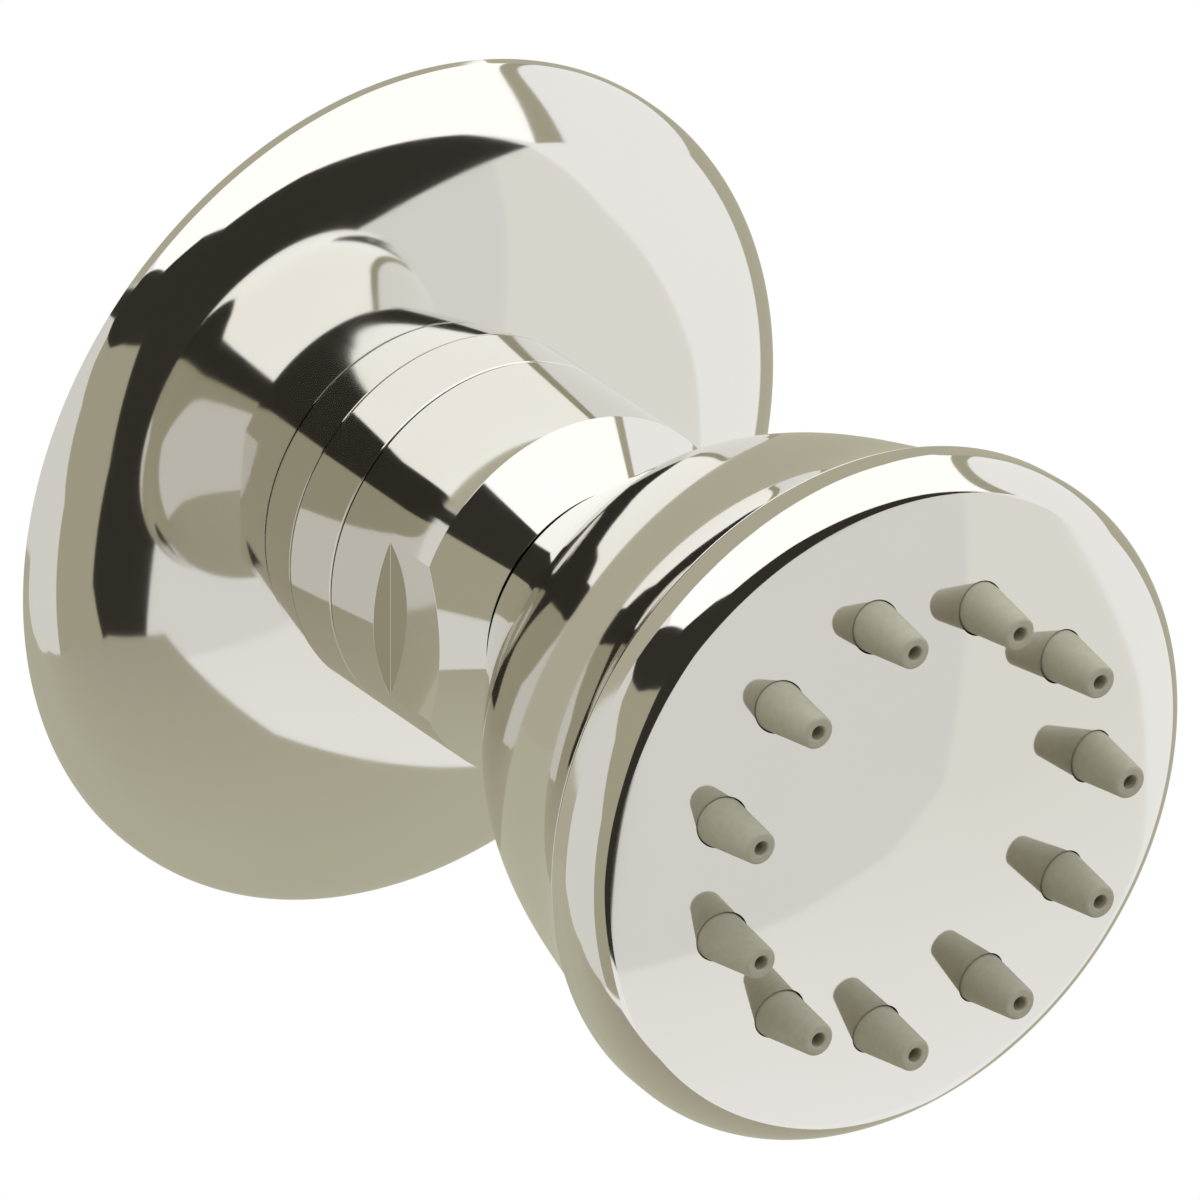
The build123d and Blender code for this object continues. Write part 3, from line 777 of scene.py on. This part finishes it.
class JET_OT_face_plate(bpy.types.Operator):
    """Turns the domed face with its rolled rim and drills a hole for each nozzle"""

    bl_idname = "jet.face_plate"
    bl_label = "Face plate"

    def execute(self, context):
        sizes = context.scene.jet_sizes
        back = BELL_MOUTH + FACE_GAP
        back_r = BELL_MOUTH_R + FACE_STEP
        skirt_r = BELL_MOUTH_R - BELL_LIP - SLIP
        skirt_in_r = skirt_r - SKIRT_WALL
        groove_r = SNAP_R + SLIP
        groove_back = SNAP_BACK - SLIP
        groove_front = SNAP_FRONT + SLIP
        dome_centre = FACE_TOP - FACE_DOME_R
        # Centre of the rim's round: inside the dome and inside the side by the round's radius
        lean = math.atan2(FACE_FLARE, FACE_SIDE)
        inner_r = FACE_DOME_R - FACE_RIM_ROUND
        low_r = back_r - FACE_RIM_ROUND * math.cos(lean)
        low = back + FACE_RIM_ROUND * math.sin(lean) - dome_centre
        along = low_r * math.sin(lean) + low * math.cos(lean)
        rise = math.sqrt(along**2 + inner_r**2 - low_r**2 - low**2) - along
        rim_r = low_r + rise * math.sin(lean)
        rim = dome_centre + low + rise * math.cos(lean)
        dome_turn = math.degrees(math.atan2(rim_r, rim - dome_centre))
        rim_turn = 90 + math.degrees(lean) - dome_turn
        inner_turn = math.degrees(math.asin(skirt_in_r / (FACE_DOME_R - FACE_WALL)))
        outline = Profile(0, FACE_TOP)
        outline.arc(0, dome_centre, -dome_turn, FACE_DOME_STEPS)
        outline.arc(rim_r, rim, -rim_turn, FACE_RIM_STEPS)
        outline.line((back_r, back + FACE_EDGE_BREAK), (back_r - FACE_EDGE_BREAK, back))
        outline.line((skirt_r, back), (skirt_r, SKIRT_BACK))
        outline.line((skirt_in_r, SKIRT_BACK), (skirt_in_r, groove_back), (groove_r, groove_back))
        outline.line((groove_r, groove_front), (skirt_in_r, groove_front))
        outline.line((skirt_in_r, dome(skirt_in_r, FACE_WALL)))
        outline.arc(0, dome_centre, inner_turn, FACE_INNER_STEPS)
        piece = piece_from(outline.turned(sizes.turn_steps, closed=False), "face_turning")
        hole_r = sizes.nozzle_base_d / MM / 2 + NOZZLE_HOLE_GAP
        places = nozzle_places(sizes.nozzle_count)
        carve(piece, drills("face_drill", hole_r, SNAP_FRONT, NOZZLE_TOP, places, sizes.nozzle_steps))
        crisp(piece)
        dress(piece, "head", "polished_nickel", "face_plate")
        return {"FINISHED"}


class JET_OT_nozzle_mat(bpy.types.Operator):
    """Moulds the silicone mat with its ring of tapered nozzles"""

    bl_idname = "jet.nozzle_mat"
    bl_label = "Nozzle mat"

    def execute(self, context):
        sizes = context.scene.jet_sizes
        base_r = sizes.nozzle_base_d / MM / 2
        tip_r = sizes.nozzle_tip_d / MM / 2
        feed_r = sizes.feed_d / MM / 2
        orifice_r = sizes.orifice_d / MM / 2
        front_drop = FACE_WALL + SLIP
        back_drop = front_drop + MAT_THICKNESS
        front_turn = math.degrees(math.asin(MAT_R / (FACE_DOME_R - front_drop)))
        back_turn = math.degrees(math.asin(MAT_R / (FACE_DOME_R - back_drop)))
        dome_centre = FACE_TOP - FACE_DOME_R
        circle_r = MAT_R - NOZZLE_EDGE
        base = dome(circle_r, 0)
        root = dome(circle_r + base_r, back_drop) + MAT_THICKNESS / 2
        places = nozzle_places(sizes.nozzle_count)

        outline = Profile(0, dome(0, front_drop))
        outline.arc(0, dome_centre, -front_turn, MAT_STEPS)
        outline.line((MAT_R, dome(MAT_R, back_drop)))
        outline.arc(0, dome_centre, back_turn, MAT_STEPS)
        sheet = piece_from(outline.turned(sizes.turn_steps // 2, closed=False), "nozzle_moulding")
        carve(sheet, drills("feed_drill", feed_r, SNAP_FRONT, NOZZLE_TOP, places, sizes.nozzle_steps // 2))

        taper = math.atan2(base_r - tip_r, NOZZLE_TOP - base)
        tip_centre = NOZZLE_TOP - NOZZLE_TIP_ROUND
        tip_centre_r = tip_r - NOZZLE_TIP_ROUND * math.tan(math.pi / 4 - taper / 2)
        shoulder_r = tip_centre_r + NOZZLE_TIP_ROUND * math.cos(taper)
        shoulder = tip_centre + NOZZLE_TIP_ROUND * math.sin(taper)
        outline = Profile(feed_r, root)
        outline.line((base_r, root), (base_r, base), (shoulder_r, shoulder))
        outline.arc(tip_centre_r, tip_centre, 90 - math.degrees(taper), TIP_STEPS)
        outline.line((orifice_r + ORIFICE_CHAMFER, NOZZLE_TOP), (orifice_r, NOZZLE_TOP - ORIFICE_CHAMFER))
        outline.line((orifice_r, NOZZLE_TOP - ORIFICE_LENGTH), (feed_r, NOZZLE_TOP - ORIFICE_LENGTH))
        shape = outline.turned(sizes.nozzle_steps)
        first = shape.verts[:] + shape.edges[:] + shape.faces[:]
        for place in places[1:]:
            copy = bmesh.ops.duplicate(shape, geom=first)["geom"]
            copied = [part for part in copy if isinstance(part, bmesh.types.BMVert)]
            bmesh.ops.translate(shape, vec=place, verts=copied)
        corners = [part for part in first if isinstance(part, bmesh.types.BMVert)]
        bmesh.ops.translate(shape, vec=places[0], verts=corners)
        shape.from_mesh(sheet.data)
        shape.to_mesh(sheet.data)
        shape.free()
        sheet.data.shade_smooth()
        crisp(sheet)
        dress(sheet, "head", "silicone", "nozzle_mat")
        return {"FINISHED"}


class JET_OT_inner_pieces(bpy.types.Operator):
    """Gives the seals, rings, plate, strainer and regulator that stay as CAD pieces their finishes"""

    bl_idname = "jet.inner_pieces"
    bl_label = "Inner pieces"

    def execute(self, context):
        for name, piece in frame["nodes"].items():
            for place in piece.material_slots:
                place.material = finish(SLOT_OF[name])
        return {"FINISHED"}


def toward(azimuth, elevation, distance):
    """Place at a distance, by degrees to the right of the jet's outward axis and degrees up."""
    turn = math.radians(azimuth)
    lift = math.radians(elevation)
    flat = distance * math.cos(lift)
    return Vector((flat * math.sin(turn), -flat * math.cos(turn), distance * math.sin(lift)))


def glow(name, colour, strength, end_colour=None, axis="Z", run=(0, 1)):
    """Light-giving material of a card, whose colour may change along an axis, over a run in metres."""
    material, tree = blank_material(name)
    shown = rgba(colour)
    if end_colour is not None:
        along = node(tree, "ShaderNodeSeparateXYZ", {"Vector": object_place(tree)}).outputs[axis]
        share = ranged(tree, along, low=0.0, high=1.0, first=run[0], last=run[1])
        shown = mixed(tree, share, colour, end_colour)
    shader = node(tree, "ShaderNodeEmission", {"Color": shown, "Strength": strength})
    node(tree, "ShaderNodeOutputMaterial", {"Surface": shader.outputs["Emission"]})
    return material


def card(name, sheets, material):
    """Studio card made of sheets, whose corners are given in metres."""
    shape = bmesh.new()
    for sheet in sheets:
        corners = [shape.verts.new(corner) for corner in sheet]
        bmesh.ops.contextual_create(shape, geom=corners)
    bmesh.ops.remove_doubles(shape, verts=shape.verts, dist=MM)
    made = piece_from(shape, name)
    made.data.materials.append(material)
    made.visible_camera = False


def far(sheets, distance):
    """Corners of far sheets, from their directions."""
    return [[toward(*corner, distance) for corner in sheet] for sheet in sheets]


def band(first, second):
    """Sheets between two edges that have the same number of corners."""
    rungs = list(zip(first, second))
    return [[here[0], there[0], there[1], here[1]] for here, there in zip(rungs, rungs[1:])]


def fan(edge, middle):
    """Sheets between a closed edge and a point in its middle."""
    return [[first, second, middle] for first, second in zip(edge, edge[1:] + edge[:1])]


# Round card that stands on the right: its middle, half opening, width and half turn in degrees
HOOP_AZIMUTH = 90
HOOP_ELEVATION = -10
HOOP_OPENING = 48
HOOP_WIDTH = 4
HOOP_TURN = 79
HOOP_STEPS = 24


def hoop(opening, distance):
    """Corners along the upper half of the round card, by a half opening in degrees."""
    top = toward(HOOP_AZIMUTH, HOOP_ELEVATION + opening, distance)
    middle = toward(HOOP_AZIMUTH, HOOP_ELEVATION, 1)
    turns = [HOOP_TURN * (1 - 2 * step / HOOP_STEPS) for step in range(HOOP_STEPS + 1)]
    return [Matrix.Rotation(math.radians(turn), 3, middle) @ top for turn in turns]


# Corners of the far cards, as degrees to the right of the jet's axis and degrees up
FLAG_SHEETS = [
    [(-145, 24), (-120, 30), (-74, 31), (-55, 47), (-120, 47), (-145, 34)],
    [(-74, 31), (-46, 25), (-24, 43), (-55, 47)],
    [(-46, 25), (-22, 13), (-9, 33), (-24, 43)],
    [(-22, 13), (-14, -10), (6, -3), (-9, 33)],
    [(-14, -10), (-13, -25), (5, -20), (6, -3)],
    [(-13, -25), (-6, -34), (5, -34), (5, -20)],
    [(6, -3), (25, -2), (26, 17), (12, 27), (-9, 33)],
    [(25, -2), (42, 1), (36, 9), (26, 17)],
]
PANEL_SHEETS = [
    [(6, -3), (5, -20), (5, -34), (23, -32), (25, -2)],
    [(25, -2), (23, -32), (32, -29), (36, -25), (37, 0)],
]
WING_SHEETS = [[(37, 0), (36, -25), (57, -24), (47, -11), (42, 1)]]
SKIRT_SHEETS = band(
    [(5, -34), (23, -32), (32, -29), (36, -25), (57, -24)],
    [(0, -50), (16, -54), (32, -55), (48, -54), (72, -42)],
)
OLIVE_SHEETS = [
    [(-46, 25), (-22, 13), (-14, -10), (-46, -8)],
    [(-14, -10), (-13, -25), (-6, -34), (-8, -42), (-36, -46), (-46, -8)],
    [(-120, 30), (-74, 31), (-46, 25), (-46, -8), (-75, 17), (-110, 26)],
]
SIDE_SHEETS = [
    [(-110, 26), (-75, 17), (-46, -8), (-110, -8)],
    [(-46, -8), (-36, -46), (-103, -46), (-110, -8)],
    [(-145, 24), (-120, 30), (-110, 26), (-110, -8), (-103, -46), (-135, -42), (-140, -8)],
]
BACK_SHEETS = band(
    [(84, -4), (125, 6), (140, 28), (160, 45), (180, 50), (-160, 48), (-147, 40), (-140, -8)],
    [(92, -50), (125, -52), (140, -52), (160, -48), (180, -42), (-160, -42), (-147, -42), (-135, -42)],
)
OVERHEAD_FRONT = [(-145, 40), (-120, 47), (-55, 47), (-24, 43), (-9, 33), (12, 27), (26, 17), (36, 9)]
OVERHEAD_BACK = [(140, 28), (160, 45), (180, 50), (-160, 48)]

# How far the camera sees, in metres
CAMERA_REACH = 100

# Elevations in degrees between which the panel's skirt turns white
SKIRT_TOP = -25
SKIRT_END = -55

# Where the sheet under the jet changes colour, as Y in millimetres
TABLE_NEAR = -30
TABLE_FAR = -130

# Corners of the sheet under the jet, in millimetres to the right of the axis and out from the wall
TABLE_CORNERS = [
    (-5, 130), (18, 78), (48, 40), (120, -60), (120, -300), (-140, -300), (-140, -20), (-120, 55), (-80, 105),
    (-40, 130),
]


class JET_OT_studio(bpy.types.Operator):
    """Sets up the camera, the cards, the floor and the white surroundings"""

    bl_idname = "jet.studio"
    bl_label = "Studio"

    def execute(self, context):
        studio = context.scene.jet_studio
        self.hang_cards(studio)
        self.lay_floor(studio)
        self.light_surroundings(context.scene, studio)
        self.aim_camera(context.scene, studio)
        return {"FINISHED"}

    def hang_cards(self, studio):
        """Cards that the metal mirrors, which the camera doesn't see."""
        distance = studio.card_distance
        card("dark_flag", far(FLAG_SHEETS, distance), glow("dark_flag", studio.flag, 1))
        card("olive_card", far(OLIVE_SHEETS, distance), glow("olive_card", studio.olive, 1))
        outer = hoop(HOOP_OPENING, distance)
        strip = band(outer, hoop(HOOP_OPENING - HOOP_WIDTH, distance))
        card("olive_strip", strip, glow("olive_strip", studio.olive, 1))
        card("back_card", far(BACK_SHEETS, distance), glow("back_card", studio.back, 1))
        card("side_card", far(SIDE_SHEETS, distance), glow("side_card", studio.side, 1))
        card("light_panel", far(PANEL_SHEETS, distance), glow("light_panel", studio.panel, 1))
        wing_run = (toward(0, SKIRT_TOP, distance).z, toward(0, SKIRT_END, distance).z)
        wing_glow = glow("panel_wing", studio.wing, 1, studio.backdrop, "Z", wing_run)
        card("panel_wing", far(WING_SHEETS + SKIRT_SHEETS, distance), wing_glow)
        light = glow("overhead_light", studio.backdrop, studio.overhead)
        front, back = far([OVERHEAD_FRONT, OVERHEAD_BACK], distance)
        card("overhead_light", fan(front + outer + back, toward(0, 90, distance)), light)
        drop = Vector((0, 0, -studio.table_drop))
        table = [spot(*corner) + drop for corner in TABLE_CORNERS]
        table_run = (TABLE_NEAR * MM, TABLE_FAR * MM)
        card("tan_table", [table], glow("tan_table", studio.table, 1, studio.table_end, "Y", table_run))

    def lay_floor(self, studio):
        """Wide floor under the jet."""
        shape = bmesh.new()
        corners = bmesh.ops.create_grid(shape, x_segments=1, y_segments=1, size=studio.floor_size)["verts"]
        bmesh.ops.translate(shape, vec=(0, 0, -studio.floor_drop), verts=corners)
        floor = piece_from(shape, "studio_floor")
        floor.data.materials.append(self.floor_material(studio))

    def light_surroundings(self, scene, studio):
        """White light from all sides, shown as it is."""
        world = bpy.data.worlds.new("white_surroundings")
        world.use_nodes = True
        world.node_tree.nodes.clear()
        sky = node(
            world.node_tree, "ShaderNodeBackground", {"Color": rgba(studio.backdrop), "Strength": 1.0}
        )
        node(world.node_tree, "ShaderNodeOutputWorld", {"Surface": sky.outputs["Background"]})
        scene.world = world
        scene.view_settings.view_transform = "Standard"

    def aim_camera(self, scene, studio):
        """Camera without perspective, above the jet and to one side."""
        lens = bpy.data.cameras.new("photo_camera")
        lens.type = "ORTHO"
        lens.ortho_scale = studio.frame_height
        lens.clip_end = CAMERA_REACH
        camera = bpy.data.objects.new("photo_camera", lens)
        scene.collection.objects.link(camera)
        back = toward(math.degrees(studio.azimuth), math.degrees(studio.elevation), 1)
        right = Vector((math.cos(studio.azimuth), math.sin(studio.azimuth), 0))
        up = back.cross(right)
        aim = right * studio.aim_right - up * studio.aim_down
        camera.location = aim + back * studio.camera_distance
        camera.rotation_mode = "QUATERNION"
        camera.rotation_quaternion = (-back).to_track_quat("-Z", "Y")
        scene.camera = camera

    def floor_material(self, studio):
        """Floor that the camera and the metal see as white, and that lights the matt pieces less."""
        material, tree = blank_material("studio_floor")
        path = node(tree, "ShaderNodeLightPath")
        seen = node(
            tree, "ShaderNodeMath",
            {0: path.outputs["Is Camera Ray"], 1: path.outputs["Is Glossy Ray"]}, operation="MAXIMUM",
        )
        seen = node(
            tree, "ShaderNodeMath",
            {0: seen.outputs["Value"], 1: path.outputs["Is Transmission Ray"]}, operation="MAXIMUM",
        )
        matt = node(tree, "ShaderNodeBsdfDiffuse", {"Color": rgba(studio.floor)})
        white = node(tree, "ShaderNodeEmission", {"Color": rgba(studio.backdrop), "Strength": 1.0})
        shader = node(
            tree, "ShaderNodeMixShader",
            {"Fac": seen.outputs["Value"], 1: matt.outputs["BSDF"], 2: white.outputs["Emission"]},
        )
        node(tree, "ShaderNodeOutputMaterial", {"Surface": shader.outputs["Shader"]})
        return material


OPERATORS = (
    JET_OT_wall_flange,
    JET_OT_inlet_body,
    JET_OT_union_nut,
    JET_OT_swivel_ball,
    JET_OT_bell_shell,
    JET_OT_face_plate,
    JET_OT_nozzle_mat,
    JET_OT_inner_pieces,
    JET_OT_studio,
)


class JET_PT_sidebar(bpy.types.Panel):
    """Lists the jet's sizes, colours and pieces"""

    bl_idname = "JET_PT_sidebar"
    bl_label = "Shower body jet"
    bl_space_type = "VIEW_3D"
    bl_region_type = "UI"
    bl_category = "Body jet"

    def draw(self, context):
        column = self.layout.column()
        for group in (context.scene.jet_sizes, context.scene.jet_colours, context.scene.jet_studio):
            for name in group.__annotations__:
                column.prop(group, name)
        for operator in OPERATORS:
            column.operator(operator.bl_idname)


CLASSES = (JetSizes, JetColours, JetStudio, *OPERATORS, JET_PT_sidebar)


def register():
    """Adds the classes and the scene's settings."""
    for made in CLASSES:
        bpy.utils.register_class(made)
    bpy.types.Scene.jet_sizes = bpy.props.PointerProperty(type=JetSizes)
    bpy.types.Scene.jet_colours = bpy.props.PointerProperty(type=JetColours)
    bpy.types.Scene.jet_studio = bpy.props.PointerProperty(type=JetStudio)


def unregister():
    """Removes the scene's settings and the classes."""
    del bpy.types.Scene.jet_studio
    del bpy.types.Scene.jet_colours
    del bpy.types.Scene.jet_sizes
    for made in reversed(CLASSES):
        bpy.utils.unregister_class(made)


def main():
    """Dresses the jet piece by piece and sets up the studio."""
    register()
    bpy.ops.jet.wall_flange()
    bpy.ops.jet.inlet_body()
    bpy.ops.jet.union_nut()
    bpy.ops.jet.swivel_ball()
    bpy.ops.jet.bell_shell()
    bpy.ops.jet.face_plate()
    bpy.ops.jet.nozzle_mat()
    bpy.ops.jet.inner_pieces()
    bpy.ops.jet.studio()


if __name__ == "__main__":
    main()
